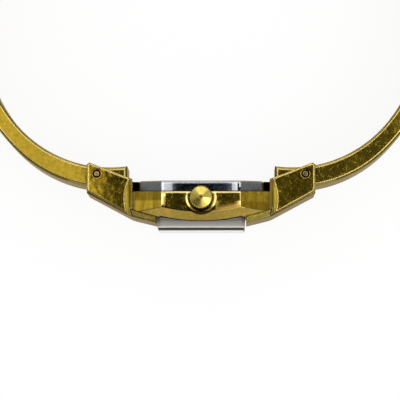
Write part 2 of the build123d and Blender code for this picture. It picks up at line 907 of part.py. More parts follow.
def coil_winding():
    spool = Rot(0, 90, 0) * Cylinder(coil_radius, coil_length)
    cheek = Box(flange_thickness, 2 * flange_half, 2 * flange_half)
    reach = (coil_length + flange_thickness) / 2
    coil = spool + Pos(reach, 0, 0) * cheek + Pos(-reach, 0, 0) * cheek
    coil = Pos(coil_x, y_at(coil_depth), coil_z) * coil
    half_width = core_width / 2 + fit_gap
    half_height = core_thickness / 2 + fit_gap
    return coil - slab(
        coil_x - coil_length, coil_x + coil_length, coil_z - half_width, coil_z + half_width,
        coil_depth - half_height, coil_depth + half_height,
    )


# Crown and keyless work


def crown_ring(radius, height):
    """A toothed section of the crown, at this height above its foot."""
    root = radius * (1 - crown_tooth_depth / crown_radius)
    points = []
    for tooth in range(crown_teeth):
        for share, reach in ((-crown_root_share, root), (0, radius), (crown_root_share, root)):
            turn = radians(360 * (tooth + share) / crown_teeth)
            points.append((reach * cos(turn), reach * sin(turn)))
    return Pos(0, 0, height) * make_face(Polyline(points, close=True))


def crown():
    rim = crown_radius - crown_rim
    shoulder = crown_skirt - crown_rim
    sections = [(crown_radius, 0), (crown_radius, shoulder), (rim, crown_skirt)]
    knurl = loft([crown_ring(radius, height) for radius, height in sections], ruled=True)
    up = (Align.CENTER, Align.CENTER, Align.MIN)
    cone = Pos(0, 0, crown_skirt) * Cone(rim - crown_tooth_depth, crown_pip_radius, crown_cone, align=up)
    pip = Pos(0, 0, crown_skirt) * Cylinder(crown_pip_radius, crown_cone + crown_pip_height, align=up)
    hollow = Pos(0, 0, -overrun) * Cylinder(crown_hollow_radius, crown_hollow_depth + overrun, align=up)
    bore = Cylinder(stem_radius + fit_gap, crown_skirt, align=up)
    return Pos(0, 0, case_width + crown_gap) * (knurl + cone + pip - hollow - bore)


def crown_tube():
    low = case_width - chamber_side_wall
    high = case_width + tube_stand
    tube = rod(0, stem_depth, low, high, tube_radius)
    return tube - rod(0, stem_depth, low - overrun, high + overrun, tube_radius - tube_wall)


def crown_gasket():
    low = case_width + crown_gap + crown_hollow_depth - crown_seal_section
    ring = rod(0, stem_depth, low, low + crown_seal_section - fit_gap, crown_hollow_radius - fit_gap)
    return ring - rod(0, stem_depth, low - overrun, low + overrun, stem_radius + fit_gap)


def stem():
    top = case_width + crown_gap + crown_skirt - fit_gap
    square_top = stem_inner_z + stem_square_length
    shaft = rod(0, stem_depth, square_top, top, stem_radius)
    half = stem_square / 2
    square = Pos(0, 0, stem_inner_z) * Box(
        2 * half, 2 * half, stem_square_length, align=(Align.CENTER, Align.CENTER, Align.MIN)
    )
    return shaft + square


def sliding_pinion():
    """A sleeve on the stem's square, with face teeth at its inner end."""
    body = rod(0, stem_depth, clutch_z, clutch_z + clutch_length, clutch_radius)
    gap = Pos(0, 0, clutch_z - overrun) * Box(
        clutch_radius + overrun, clutch_gap_width, clutch_tooth_height + overrun,
        align=(Align.MIN, Align.CENTER, Align.MIN),
    )
    for tooth in range(clutch_teeth):
        body -= Rot(0, 0, 360 * tooth / clutch_teeth) * gap
    hole = stem_square + 2 * run_gap
    return body - Pos(0, 0, clutch_z - overrun) * Box(
        hole, hole, clutch_length + 2 * overrun, align=(Align.CENTER, Align.CENTER, Align.MIN)
    )


parts["mid_case"] = case_middle()
parts["right_hood_cover"] = hood_cover()
parts["right_arm"] = right_arm()
parts["right_hinge_pin"] = hinge_pin()
for name in ("hood_cover", "arm", "hinge_pin"):
    parts["left_" + name] = mirror(parts["right_" + name], about=Plane.YZ)
parts["caseback"] = caseback()
parts["caseback_gasket"] = caseback_gasket()
parts["crystal"] = crystal()
parts["crystal_gasket"] = crystal_gasket()
parts["dial"] = dial()
parts["dial_markers"] = dial_markers()
parts["hour_hand"] = hand(
    hour_hand_length, hand_width, hour_hand_turn, hour_hand_depth, hour_pipe_radius() + fit_gap
)
parts["minute_hand"] = hand(
    minute_hand_length, hand_width, minute_hand_turn, minute_hand_depth, cannon_pipe_radius + fit_gap
)
parts["main_plate"] = main_plate()
parts["train_bridge"] = train_bridge()
parts["movement_screws"] = movement_screws()
parts["movement_ring"] = movement_ring()
parts["battery"] = battery()
parts["battery_clamp"] = battery_clamp()
parts["circuit_board"] = circuit_board()
parts["quartz_can"] = quartz_can()
parts["stator"] = stator()
parts["coil_core"] = coil_core()
parts["coil_winding"] = coil_winding()
parts["rotor"] = rotor()
parts["intermediate_wheel"] = intermediate_wheel()
parts["centre_wheel"] = centre_wheel()
parts["cannon_pinion"] = cannon_pinion()
parts["minute_wheel"] = minute_wheel()
parts["hour_wheel"] = hour_wheel()
parts["crown"] = crown()
parts["crown_tube"] = crown_tube()
parts["crown_gasket"] = crown_gasket()
parts["stem"] = stem()
parts["sliding_pinion"] = sliding_pinion()

os.makedirs("parts", exist_ok=True)
for node, shape in parts.items():
    export_step(shape, f"parts/{node}.step")
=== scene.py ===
import json
import math

import bpy
from mathutils import Matrix, Vector

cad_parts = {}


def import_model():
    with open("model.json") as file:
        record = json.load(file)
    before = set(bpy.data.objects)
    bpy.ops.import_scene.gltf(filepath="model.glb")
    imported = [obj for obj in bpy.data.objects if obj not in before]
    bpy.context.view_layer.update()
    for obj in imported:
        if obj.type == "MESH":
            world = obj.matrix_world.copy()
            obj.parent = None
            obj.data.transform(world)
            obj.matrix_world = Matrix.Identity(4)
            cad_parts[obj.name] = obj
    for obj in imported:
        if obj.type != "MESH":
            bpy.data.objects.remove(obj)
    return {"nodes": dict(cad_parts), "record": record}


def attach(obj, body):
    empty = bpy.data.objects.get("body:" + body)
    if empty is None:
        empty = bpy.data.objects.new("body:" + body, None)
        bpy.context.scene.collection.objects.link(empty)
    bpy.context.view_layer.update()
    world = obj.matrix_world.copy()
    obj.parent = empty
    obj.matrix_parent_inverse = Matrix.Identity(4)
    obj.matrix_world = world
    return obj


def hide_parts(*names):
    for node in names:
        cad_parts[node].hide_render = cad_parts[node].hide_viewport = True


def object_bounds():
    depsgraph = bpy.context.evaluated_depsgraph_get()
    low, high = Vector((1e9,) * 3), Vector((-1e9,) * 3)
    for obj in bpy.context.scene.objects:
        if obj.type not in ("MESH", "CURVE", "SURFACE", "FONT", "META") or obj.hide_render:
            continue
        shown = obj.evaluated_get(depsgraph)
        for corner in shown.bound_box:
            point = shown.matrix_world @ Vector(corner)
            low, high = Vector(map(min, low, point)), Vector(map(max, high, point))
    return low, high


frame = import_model()
cad_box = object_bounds()
millimetre = 0.001


def extent(name, axis):
    """The least and the greatest coordinate of a node along one axis."""
    along = [corner[axis] for corner in frame["nodes"][name].bound_box]
    return min(along), max(along)


# Camera: above the crown side and a little towards the dial
camera_place = Vector((0.0043, -0.0260, 0.454))
camera_target = Vector((-0.00013, -0.00035, 0.012))
half_view = 0.0263  # half the width that the picture shows at the target
sensor = 36.0
camera_clip = (0.01, 10)

# Floor and light
floor_half = 1.2
floor_paper = (0.95, 0.95, 0.95)
floor_glow = 0.9  # how much of the floor's brightness is even, so that it looks white
floor_in_metal = (0.45, 0.385, 0.23)
light_place = (0.60, -0.28, 0.76)
light_target = (0, 0, 0.006)
light_size = (0.34, 0.34)
light_power = 1.6

# Studio, as directions seen from the watch: east is x over z and north is y over z
opening_east = (-0.041, 0.056)
opening_north = (-0.05, 0.17)
opening_soft = 0.004
opening_colours = ((0.012, 0.015, 0.018), (0.13, 0.135, 0.15))
opening_reach = (-0.045, 0.06)
opening_stops = ((0.0, 1.3), (0.2, 1.0), (0.5, 1.1), (0.57, 1.45), (0.71, 1.5), (0.86, 1.8), (0.98, 2.6))
back_card = ((-0.029, 0.0088), (0.0605, 0.09), 0.0015, 0.09)  # its east, north, softness and level
low_card = ((-0.6, 0.015), (-0.66, -0.05), 0.02)  # its x, y and softness
card_colour = (0.06, 0.05, 0.035)
ring_stops = ((0.0, 0.83), (0.07, 0.85), (0.11, 1.9), (0.21, 1.9), (0.24, 1.0))
sideways_stops = (
    (0.0, 1.0), (0.12, 1.2), (0.34, 1.3), (0.385, 0.43), (0.60, 0.38), (0.70, 0.16), (0.85, 0.25),
    (0.97, 0.5),
)
dialward_stops = ((0.0, 1.0), (0.35, 1.0), (0.74, 0.52), (0.9, 0.35), (1.0, 0.3))
clutter_scale = 230.0
unevenness_scale = 70.0

# Colours
white = (1, 1, 1)
gold_colour = (0.55, 0.36, 0.032)
gold_edge_colour = (0.50, 0.40, 0.18)
# painted highlight along gold's rounded edges
highlight_gold_colour = (1.0, 0.86, 0.38)
cover_colour = (0.52, 0.37, 0.075)
crown_colour = (0.96, 0.72, 0.16)
pin_colour = (0.40, 0.28, 0.10)
steel_colour = (0.62, 0.62, 0.65)
# painted highlight along steel's rounded edges
highlight_steel_colour = (0.9, 0.91, 0.94)
brass_colour = (0.55, 0.42, 0.16)
iron_colour = (0.42, 0.42, 0.44)

# Wear of the metals, and noise for their painted shade and painted reflections; the scales are noise cells
# per metre
smear_scale = 420.0
wave_scale = 800.0
blotch_scale = 1100.0
mottle_scale = 1500.0
grain_scale = 2600.0
scratch_turns = (12, 40, 66, 95, 128, 160)  # degrees
scratch_length = 1.1 * millimetre
scratch_width = 0.035 * millimetre
dark_lean = (1.5, 0.9, 1.0)  # how much faster red, green and blue go dark in a smear
speck_stops = ((0.36, (0.72, 0.80, 0.72)), (0.64, (1.2, 1.14, 1.2)))
# Painted shade in gaps and corners: how far it looks for cover, and its darkest level
corner_shade_reach = 2.5 * millimetre
corner_shade_least = 0.06

# Edges: masks for a painted highlight and a painted dark line along edges, by how well a rounded edge's
# direction matches the face's own, and widths
shine_stops = ((0.88, 0.0), (0.90, 0.95), (0.997, 0.95), (0.9996, 0.0))
edge_shade_stops = ((0.984, 0.06), (0.9985, 1.0))
crease = 0.14 * millimetre
pillow = 0.5 * millimetre
roll = 1.3 * millimetre
crisp = 0.27 * millimetre
slight = 0.12 * millimetre

# Places on the case: distances from its middle, and heights towards the wrist
half_width = extent("mid_case", 2)[1] / 2
flat_end = 5.7 * millimetre
facet_end = 8.7 * millimetre
hood_start = 9.0 * millimetre
stripes_end = 10.15 * millimetre
wide_rim_end = 4.65 * millimetre
border_y = (-2.2 * millimetre, -0.7 * millimetre)  # where the flats meet the bowed band below them
rolled_start = 1.9 * millimetre
rolled_top = -0.45 * millimetre
tail_end = extent("right_arm", 0)[0]
back_middle = sum(extent("caseback", 1)) / 2

# Crown, its dish, and the hinge pins' sunk holes
crown_reach = extent("crown", 0)[1]
crown_teeth = 28
pip_radius = 0.3 * millimetre
dish_reach = (1.76 * millimetre, 2.06 * millimetre)
dish_depth = 0.03 * millimetre
dish_sides, dish_rings = 72, 9
joints = frame["record"]["behaviour"]["joints"]
hinge_axis = next(joint["pos_m"] for joint in joints if joint["name"] == "right_arm_hinge")[:2]
sunk_hole = 0.6 * millimetre
ring_edge = 0.85 * millimetre

# Painted reflections: what the photographer's room puts into the polish, as tones that a metal's colour is
# multiplied by
left_facet = ((0.95, 0.95, 0.95), (1.75, 1.75, 1.9))  # its upper and its lower half
left_facet_change = (0.2 * millimetre, 0.5 * millimetre)
right_facet = ((1.05, 1.05, 1.05), (0.74, 0.70, 0.5))
right_facet_change = (0.3 * millimetre, 0.8 * millimetre)
smear_stops = ((0.38, (0.72, 0.66, 0.5)), (0.6, (1.12, 1.12, 1.12)))
stripe_stops = (
    (0.0, 1.0), (0.03, 1.1), (0.17, 0.62), (0.38, 1.15), (0.49, 0.62), (0.59, 1.3), (0.69, 2.1), (0.85, 2.2),
    (0.97, 1.8),
)
spot_stops = ((0.36, (0.5, 0.5, 0.4)), (0.5, (1.0, 1.0, 0.9)), (0.66, (2.6, 2.4, 1.6)))
spots_on_ears = 0.55
spots_on_flats = 0.15
# painted highlights: a glow along the flats and a ring in the crown's dish
flat_glow = (1.25, 1.25, 1.25)
dish_tone = (0.6, 0.58, 1.3)
bowed_tone = (1.0, 1.0, 2.2)
left_border_colour = (0.035, 0.018, 0.0)
right_border_colour = (0.34, 0.21, 0.035)
bright_slope = (2.3, 2.2, 2.1)
dark_back = (0.42, 0.45, 0.58)
dark_back_reach = (-3.2 * millimetre, 3.6 * millimetre)

# Glass
glass_clear = ((0.93, 0.93, 0.92), (1.0, 1.0, 0.99))
glass_index = 1.5
# Painted shade and reflection on the glass's ground side and bevel, ending in a painted dark line at the
# bevel
ground_shade_stops = (  # greys of its side and bevel, from its rear to its front
    (0.0, (0.05, 0.05, 0.04)), (0.25, (0.12, 0.10, 0.08)), (0.33, (0.22, 0.20, 0.18)),
    (0.5, (0.28, 0.26, 0.24)), (0.65, (0.32, 0.30, 0.28)), (0.76, (0.45, 0.43, 0.41)),
    (0.84, (0.70, 0.68, 0.66)), (0.86, (0.6, 0.58, 0.56)), (0.88, (0.03, 0.026, 0.022)),
)
ground_rough = 0.35
# Painted glare over the glass's front, with a painted dark band at the crown's side
glare_depth = 10 * millimetre  # down its front from the crown's side; the stops are parts of it
glare_stops = ((0.30, (0.03, 0.026, 0.022)), (0.42, (0.92, 0.91, 0.9)))


def node(tree, kind, inputs=(), **settings):
    """Adds a shader node; inputs are (socket, value or other node's output) pairs."""
    made = tree.nodes.new(kind)
    for name, value in settings.items():
        setattr(made, name, value)
    for socket, value in inputs:
        if isinstance(value, bpy.types.NodeSocket):
            tree.links.new(value, made.inputs[socket])
        else:
            made.inputs[socket].default_value = value
    return made


def math_node(tree, operation, first, second=0.0, clamp=False):
    inputs = ((0, first), (1, second))
    return node(tree, "ShaderNodeMath", inputs, operation=operation, use_clamp=clamp).outputs[0]


def product(tree, first, *others):
    for other in others:
        first = math_node(tree, "MULTIPLY", first, other)
    return first


def total(tree, first, *others, clamp=False):
    for other in others:
        first = math_node(tree, "ADD", first, other, clamp=clamp)
    return first


def more_than(tree, value, limit):
    return math_node(tree, "GREATER_THAN", value, limit)


def less_than(tree, value, limit):
    return math_node(tree, "LESS_THAN", value, limit)


def step(tree, value, low, high):
    """Rises smoothly from 0 to 1 between two values."""
    inputs = (("Value", value), ("From Min", low), ("From Max", high))
    return node(tree, "ShaderNodeMapRange", inputs, interpolation_type="SMOOTHSTEP").outputs[0]


def between(tree, value, low, high, soft):
    rise = step(tree, value, low - soft, low + soft)
    fall = step(tree, value, high - soft, high + soft)
    return product(tree, rise, math_node(tree, "SUBTRACT", 1.0, fall))


def fraction(tree, value, low, high):
    """Rises evenly from 0 to 1 between two values."""
    inputs = (("Value", value), ("From Min", low), ("From Max", high))
    return node(tree, "ShaderNodeMapRange", inputs).outputs[0]


def ramp(tree, value, stops, kind="LINEAR"):
    made = node(tree, "ShaderNodeValToRGB", ((0, value),))
    made.color_ramp.interpolation = kind
    elements = made.color_ramp.elements
    while len(elements) < len(stops):
        elements.new(0.5)
    for element, (place, colour) in zip(elements, stops):
        element.position = place
        element.color = (*colour, 1) if isinstance(colour, tuple) else (colour, colour, colour, 1)
    return made.outputs[0]


def mix_colour(tree, factor, first, second, blend="MIX"):
    made = node(tree, "ShaderNodeMix", data_type="RGBA", blend_type=blend)
    for socket, value in ((0, factor), (6, first), (7, second)):
        if isinstance(value, bpy.types.NodeSocket):
            tree.links.new(value, made.inputs[socket])
        elif socket == 0:
            made.inputs[0].default_value = value
        else:
            made.inputs[socket].default_value = (*value, 1)
    return made.outputs[2]


def tinted(tree, base, by, share=1.0):
    """A colour multiplied by another."""
    return mix_colour(tree, share, base, by, "MULTIPLY")


def split(tree, vector):
    return node(tree, "ShaderNodeSeparateXYZ", ((0, vector),)).outputs


def spot(tree):
    """Where a point is on the piece."""
    return node(tree, "ShaderNodeTexCoord").outputs["Object"]


def facing(tree):
    """The x, y and z parts of the direction that a face looks in."""
    return split(tree, node(tree, "ShaderNodeTexCoord").outputs["Normal"])


def mapped(tree, scale=(1, 1, 1)):
    return node(tree, "ShaderNodeMapping", (("Vector", spot(tree)), ("Scale", scale))).outputs[0]


def noise(tree, vector, scale, detail=3.0, roughness=0.55):
    inputs = (("Vector", vector), ("Scale", scale), ("Detail", detail), ("Roughness", roughness))
    return node(tree, "ShaderNodeTexNoise", inputs).outputs["Fac"]


def from_middle(tree, axis, middle=0.0):
    """How far a place on the piece is from a middle plane."""
    along = split(tree, spot(tree))[axis]
    return math_node(tree, "ABSOLUTE", math_node(tree, "SUBTRACT", along, middle))


def axis_distance(tree, axis_x, axis_y):
    """How far a place is from an axis that runs through the case from side to side; both halves match."""
    away = math_node(tree, "SUBTRACT", from_middle(tree, 0), axis_x)
    up = math_node(tree, "SUBTRACT", split(tree, spot(tree))[1], axis_y)
    return math_node(tree, "SQRT", total(tree, product(tree, away, away), product(tree, up, up)))


def new_material(name):
    material = bpy.data.materials.new(name)
    material.use_nodes = True
    tree = material.node_tree
    return material, tree, tree.nodes["Principled BSDF"]


def scratches(tree, turns, length, width, seed):
    """Thin straight scratches that cross at random, as a mask from 0 to 1."""
    mask = None
    for i, turn in enumerate(turns):
        inputs = (
            ("Vector", spot(tree)), ("Rotation", (0, 0, math.radians(turn))),
            ("Scale", (length, width, length)), ("Location", (seed * length, i * length, 0)),
        )
        streak = node(tree, "ShaderNodeMapping", inputs, vector_type="TEXTURE").outputs[0]
        lines = ramp(tree, noise(tree, streak, 1.0, detail=0.0), ((0.78, 0.0), (0.86, 1.0)))
        mask = lines if mask is None else math_node(tree, "MAXIMUM", mask, lines)
    return mask


def painted_corner_shade(tree, base):
    """Paints shade into a colour in gaps and corners, where little light gets in, from ambient occlusion
    broken up into blotches by noise.
    """
    open_sky = node(tree, "ShaderNodeAmbientOcclusion", (("Distance", corner_shade_reach),), samples=8)
    blotches = math_node(tree, "SUBTRACT", noise(tree, mapped(tree), blotch_scale, detail=2.0), 0.5)
    level = total(tree, open_sky.outputs["AO"], product(tree, blotches, 0.5))
    return tinted(tree, base, ramp(tree, level, ((0.3, corner_shade_least), (0.7, 1.0))))


def rounded_normal(tree, width, samples):
    return node(tree, "ShaderNodeBevel", (("Radius", width),), samples=samples).outputs[0]


def edge_mask(tree, width, stops):
    """A mask along sharp edges, from how far a rounded edge would turn the surface."""
    true_normal = node(tree, "ShaderNodeNewGeometry").outputs["Normal"]
    inputs = ((0, rounded_normal(tree, width, 6)), (1, true_normal))
    match = node(tree, "ShaderNodeVectorMath", inputs, operation="DOT_PRODUCT")
    return ramp(tree, match.outputs["Value"], stops)


def softened(tree, normal, share):
    """A rounded edge's normal, brought back towards the flat's own."""
    own = node(tree, "ShaderNodeNewGeometry").outputs["Normal"]
    both = node(tree, "ShaderNodeMix", ((0, share), (4, own), (5, normal)), data_type="VECTOR").outputs[1]
    return node(tree, "ShaderNodeVectorMath", ((0, both),), operation="NORMALIZE").outputs[0]


def metal(
    name, colour, rough=0.03, wear=0.5, tone=0.08, wave=3e-6, rounding=0.0, softness=0.5, outline=crease,
    rim=gold_edge_colour, edge_highlight=highlight_gold_colour, fan=None, hollow=None, shade_paint=None, reflection_paint=None,
    border=None, joined=None,
):
    """A polished metal with smears, fine scratches and a slightly uneven, buffed surface; its colour carries
    painted shade in gaps and corners, a painted highlight along rounded edges, a painted dark line along
    edges, and any painted reflections and shade it is given.
    """
    material, tree, shader = new_material(name)
    smear = noise(tree, mapped(tree), smear_scale, detail=4.0)
    grain = noise(tree, mapped(tree), grain_scale, detail=2.0)
    lines = scratches(tree, scratch_turns, scratch_length, scratch_width, len(name))

    dark = tuple(c * (1 - tone * lean) for c, lean in zip(colour, dark_lean))
    light = tuple(min(1, c * (1 + tone)) for c in colour)
    base = mix_colour(tree, ramp(tree, smear, ((0.3, 0.0), (0.7, 1.0))), dark, light)
    base = tinted(tree, base, ramp(tree, grain, speck_stops), 0.8 * wear)
    # painted shade in gaps and corners
    base = painted_corner_shade(tree, base)
    # painted reflections
    if reflection_paint:
        base = tinted(tree, base, reflection_paint(tree))
    # painted highlights and shade on the crown
    if fan:
        base = fan(tree, base)
    # painted shade, which also darkens the painted edge highlight
    if shade_paint:
        painted_shade = shade_paint(tree)
        edge_highlight = tinted(tree, edge_highlight, painted_shade)
        base = tinted(tree, base, painted_shade)
    if rounding:
        reach = rounding(tree) if callable(rounding) else rounding
        bevel = rounded_normal(tree, reach, 8)
        # painted highlight along rounded edges
        base = mix_colour(tree, edge_mask(tree, reach, shine_stops), base, edge_highlight)
    if border:
        base = border(tree, base, bevel)
    # painted shade: a dark line along every edge
    line = edge_mask(tree, outline, edge_shade_stops)
    if joined:
        line = mix_colour(tree, joined(tree), line, white)
    tree.links.new(tinted(tree, base, line), shader.inputs["Base Color"])
    shader.inputs["Specular Tint"].default_value = (*rim, 1)
    shader.inputs["Metallic"].default_value = 1.0

    smear_rough = product(tree, ramp(tree, smear, ((0.5, 0.0), (0.8, 1.0))), 0.1 * wear)
    line_rough = product(tree, lines, 0.5 * wear)
    tree.links.new(total(tree, smear_rough, line_rough, rough, clamp=True), shader.inputs["Roughness"])

    waves = product(tree, noise(tree, mapped(tree), wave_scale, detail=1.5), wave)
    fine = product(tree, grain, 0.3 * wave * wear)
    cut = product(tree, lines, -0.2 * wave * wear)
    surface = total(tree, waves, fine, cut)
    if hollow:
        surface = math_node(tree, "SUBTRACT", surface, hollow(tree))
    bump = node(tree, "ShaderNodeBump", (("Height", surface), ("Distance", 1.0), ("Strength", 1.0)))
    if rounding:
        share = softness(tree) if callable(softness) else softness
        tree.links.new(softened(tree, bevel, share), bump.inputs["Normal"])
    tree.links.new(bump.outputs[0], shader.inputs["Normal"])
    return material


def dull(name, colour, rough, metallic=0.0, scale=900.0, tone=0.15, depth=4e-6):
    """A satin or matt surface with a fine grain."""
    material, tree, shader = new_material(name)
    grain = noise(tree, mapped(tree), scale, detail=4.0)
    dark = tuple(c * (1 - tone) for c in colour)
    light = tuple(min(1, c * (1 + tone)) for c in colour)
    base = mix_colour(tree, ramp(tree, grain, ((0.3, 0.0), (0.7, 1.0))), dark, light)
    tree.links.new(base, shader.inputs["Base Color"])
    shader.inputs["Metallic"].default_value = metallic
    uneven = total(tree, product(tree, grain, 0.2), rough - 0.1, clamp=True)
    tree.links.new(uneven, shader.inputs["Roughness"])
    height = product(tree, grain, depth)
    bump = node(tree, "ShaderNodeBump", (("Height", height), ("Distance", 1.0), ("Strength", 1.0)))
    tree.links.new(bump.outputs[0], shader.inputs["Normal"])
    return material


def painted_crown_rays(tree, base):
    """Painted highlights and shade for the crown's turned finish: a fan of light and dark rays on its cone,
    light and dark ticks on its teeth, and a dark pip.
    """
    x, y = split(tree, spot(tree))[:2]
    angle = math_node(tree, "ARCTAN2", y, x)
    circle = ((0, math_node(tree, "COSINE", angle)), (1, math_node(tree, "SINE", angle)))
    turn = node(tree, "ShaderNodeCombineXYZ", circle).outputs[0]
    rays = ramp(tree, noise(tree, turn, 9.0), ((0.3, 0.7), (0.7, 1.15)))
    base = tinted(tree, base, rays)
    flat = node(tree, "ShaderNodeCombineXYZ", ((0, x), (1, y))).outputs[0]
    reach = node(tree, "ShaderNodeVectorMath", ((0, flat),), operation="LENGTH").outputs["Value"]
    teeth = math_node(tree, "SINE", product(tree, angle, crown_teeth))
    ticks = ramp(tree, teeth, ((0.2, 0.45), (0.6, 1.2)))
    at_rim = step(tree, reach, 0.8 * crown_reach, 0.88 * crown_reach)
    base = mix_colour(tree, at_rim, base, tinted(tree, base, ticks))
    pip = math_node(tree, "DIVIDE", reach, 2 * pip_radius)
    return tinted(tree, base, ramp(tree, pip, ((0.35, 0.15), (0.6, 1.0))))


def on_level(tree):
    """The faces that lie square to the crown's axis: the flats and the ears."""
    return more_than(tree, facing(tree)[2], 0.98)


def on_flats(tree):
    """The two flats beside the crown."""
    return product(tree, less_than(tree, from_middle(tree, 0), flat_end), on_level(tree))


def facet_tones(tree):
    """Painted reflections on the tilted corner facets and hood ends: smears, two halves of unlike tone and
    fine stripes.
    """
    x, y = split(tree, spot(tree))[:2]
    low = product(tree, y, -1.0)
    left = mix_colour(tree, step(tree, low, *left_facet_change), *left_facet)
    right = mix_colour(tree, step(tree, low, *right_facet_change), *right_facet)
    halves = mix_colour(tree, less_than(tree, x, 0.0), right, left)
    away = from_middle(tree, 0)
    tones = mix_colour(tree, less_than(tree, away, facet_end), white, halves)
    along = math_node(tree, "DIVIDE", math_node(tree, "SUBTRACT", away, facet_end), stripes_end - facet_end)
    tones = tinted(tree, tones, ramp(tree, along, stripe_stops))
    smears = noise(tree, mapped(tree, scale=(1, 0.15, 1)), mottle_scale, detail=2.0)
    return tinted(tree, tones, ramp(tree, smears, smear_stops))


def level_tones(tree):
    """Painted reflections on the flats and ears: mottled spots, a glow of painted highlight along the flats
    and a painted highlight ring in the dish round the crown.
    """
    mottle = noise(tree, mapped(tree), mottle_scale, detail=4.0, roughness=0.7)
    spots = ramp(tree, mottle, spot_stops)
    on_flat = on_flats(tree)
    strength = mix_colour(tree, on_flat, (spots_on_ears,) * 3, (spots_on_flats,) * 3)
    tones = mix_colour(tree, strength, white, spots)
    tones = mix_colour(tree, on_level(tree), white, tones)
    along = between(tree, from_middle(tree, 1), 0.0, 0.6 * millimetre, 0.3 * millimetre)
    glow = mix_colour(tree, along, white, flat_glow)
    tones = mix_colour(tree, on_flat, tones, tinted(tree, tones, glow))
    ring = between(tree, axis_distance(tree, 0.0, 0.0), *dish_reach, 0.1 * millimetre)
    return mix_colour(tree, product(tree, ring, on_flat), tones, dish_tone)


def painted_case_reflections(tree):
    """Painted reflections: the tones of what the case's faces mirror."""
    across, up, out = facing(tree)
    towards_crown = more_than(tree, out, 0.7)
    bowed = product(tree, less_than(tree, up, -0.2), towards_crown)
    tones = mix_colour(tree, bowed, level_tones(tree), bowed_tone)
    leaning = more_than(tree, math_node(tree, "ABSOLUTE", across), 0.06)
    tilted = product(tree, leaning, more_than(tree, up, -0.2), towards_crown)
    return mix_colour(tree, tilted, tones, facet_tones(tree))


def case_border(tree, base, bevel):
    """Painted reflection on the flats' lower borders: dark at the left of the crown and gold at its right.
    """
    lean = product(tree, split(tree, bevel)[1], -1.0)
    near_flat = less_than(tree, from_middle(tree, 0), flat_end + 0.2 * millimetre)
    band = product(tree, near_flat, on_level(tree), step(tree, lean, 0.004, 0.02))
    side = step(tree, split(tree, spot(tree))[0], 0.6 * millimetre, 1.8 * millimetre)
    return mix_colour(tree, band, base, mix_colour(tree, side, left_border_colour, right_border_colour))


def case_joined(tree):
    """No painted dark line where the right flat runs into the bowed band."""
    x, y = split(tree, spot(tree))[:2]
    right = between(tree, x, 1.4 * millimetre, flat_end, 0.3 * millimetre)
    return product(tree, right, between(tree, y, *border_y, 0.1 * millimetre))


def rolled(tree):
    """The right flat's lower border, which rolls gently into the bowed band."""
    x, y = split(tree, spot(tree))[:2]
    right = product(tree, more_than(tree, x, rolled_start), less_than(tree, x, flat_end))
    return product(tree, right, less_than(tree, y, rolled_top), on_level(tree))


def wide_rim(tree):
    """The left flat's outer border, which is buffed wider than the others."""
    x = split(tree, spot(tree))[0]
    return product(tree, on_level(tree), between(tree, x, -flat_end, -wide_rim_end, 0.03 * millimetre))


def case_softness(tree):
    """Full rounding where a border is rolled or wide, and half of it elsewhere."""
    soft = math_node(tree, "MAXIMUM", rolled(tree), wide_rim(tree))
    return total(tree, product(tree, soft, 0.5), 0.5)


def case_rounding(tree):
    """The flats beside the crown are softly pillowed at their borders, the ears have crisp ones."""
    on_ear = more_than(tree, from_middle(tree, 0), hood_start)
    widths = ((on_flats(tree), pillow), (rolled(tree), roll), (wide_rim(tree), 0.9 * roll), (on_ear, crisp))
    widest = slight
    for mask, width in widths:
        widest = math_node(tree, "MAXIMUM", product(tree, mask, width), widest)
    return widest


def painted_recess_shade(tree):
    """Painted shade in the hood pockets, beside the back and in the pins' sunk holes, a painted shadow under
    the crown, and a dimmed painted highlight round each sunk hole.
    """
    share = math_node(tree, "DIVIDE", from_middle(tree, 2, half_width), half_width)
    pockets = ramp(tree, share, ((0.74, 0.07), (0.82, 1.0)))
    distance = axis_distance(tree, *hinge_axis)
    holes = math_node(tree, "MAXIMUM", step(tree, distance, 0.9 * sunk_hole, sunk_hole), 0.12)
    rings = mix_colour(tree, step(tree, distance, 0.94 * ring_edge, ring_edge), (0.62, 0.5, 0.35), white)
    near_crown = less_than(tree, axis_distance(tree, 0.0, 0.0), 1.1 * dish_reach[1])
    above = step(tree, split(tree, spot(tree))[1], -1.4 * millimetre, -0.8 * millimetre)
    shadow = product(tree, near_crown, math_node(tree, "SUBTRACT", 1.0, above))
    under = mix_colour(tree, shadow, white, (0.12, 0.1, 0.06))
    return tinted(tree, tinted(tree, tinted(tree, pockets, holes), under), rings)


def painted_tail_shade(tree):
    """Painted shade on the cut end of each arm's tail."""
    share = math_node(tree, "DIVIDE", from_middle(tree, 0), 2 * tail_end)
    return ramp(tree, share, ((0.502, 0.05), (0.512, 1.0)))


def painted_cover_reflection(tree):
    """Painted reflection: the right cover's upper slope mirrors something brighter than the left one's."""
    right = more_than(tree, split(tree, spot(tree))[0], 0.0)
    slope = more_than(tree, facing(tree)[2], 0.2)
    return mix_colour(tree, product(tree, right, slope), white, bright_slope)


def painted_back_reflection(tree):
    """Painted reflection: the middle of the back's side mirrors the dark of the room."""
    middle = between(tree, split(tree, spot(tree))[0], *dark_back_reach, 0.3 * millimetre)
    on_side = more_than(tree, facing(tree)[2], 0.9)
    return mix_colour(tree, product(tree, middle, on_side), white, dark_back)


def back_swelling(tree):
    """How far the back's buffed side falls away towards its two ends."""
    away = from_middle(tree, 0, -0.2 * millimetre)
    share = math_node(tree, "MINIMUM", math_node(tree, "DIVIDE", away, 5.0 * millimetre), 1.0)
    return product(tree, math_node(tree, "POWER", share, 6.0), 0.05 * millimetre)


def back_rounding(tree):
    """Only the outer edge of the back's side is rounded."""
    outer = more_than(tree, split(tree, spot(tree))[1], back_middle)
    return math_node(tree, "MAXIMUM", product(tree, outer, 0.35 * millimetre), 0.02 * millimetre)


